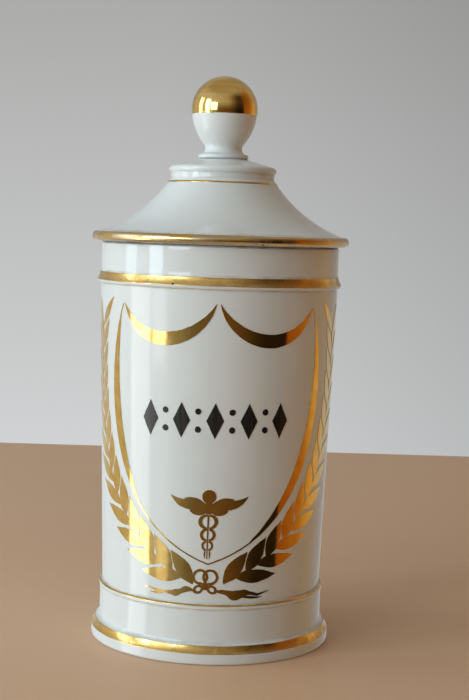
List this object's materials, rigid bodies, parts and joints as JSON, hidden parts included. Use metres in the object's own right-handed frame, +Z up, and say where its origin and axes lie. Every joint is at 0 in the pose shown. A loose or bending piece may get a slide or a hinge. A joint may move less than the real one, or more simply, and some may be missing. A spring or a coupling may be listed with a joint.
{
  "type": "apothecary jar",
  "caption": "Cylindrical covered porcelain apothecary jar with gilt bands, a gilt shield in a laurel wreath, and a lift-off ball-knobbed lid, for storing dry drugs.",
  "frame": {"origin": "on the table, under the jar's axis", "axes": "+Z up along the jar's axis; the painted front faces -Y"},
  "size_m": [0.114, 0.114, 0.2495],
  "materials": {
    "porcelain": "clear glossy glaze over white hard porcelain",
    "gilding": "burnished fired gold, thin and slightly worn",
    "black_enamel": "brushed-on black overglaze enamel"
  },
  "bodies": {
    "jar": {"jar_body": "porcelain", "foot_gilt_band": "gilding", "base_gilt_line": "gilding", "shoulder_gilt_band": "gilding", "shield_sides": "gilding", "shield_swags": "gilding", "wreath_left": "gilding", "wreath_right": "gilding", "ribbon_bow": "gilding", "ribbon_tails": "gilding", "caduceus_wings": "gilding", "caduceus_staff": "gilding", "caduceus_serpents": "gilding", "label_frieze": "black_enamel"},
    "lid": {"lid_shell": "porcelain", "lid_rim_gilt_band": "gilding", "collar_gilt_line": "gilding", "lid_knob": "porcelain", "knob_gilt_cap": "gilding"}
  },
  "joints": [
    {"name": "lid_lift", "type": "slide", "parent": "jar", "child": "lid", "axis": [0, 0, 1], "range_m": [0, 0.08]}
  ]
}
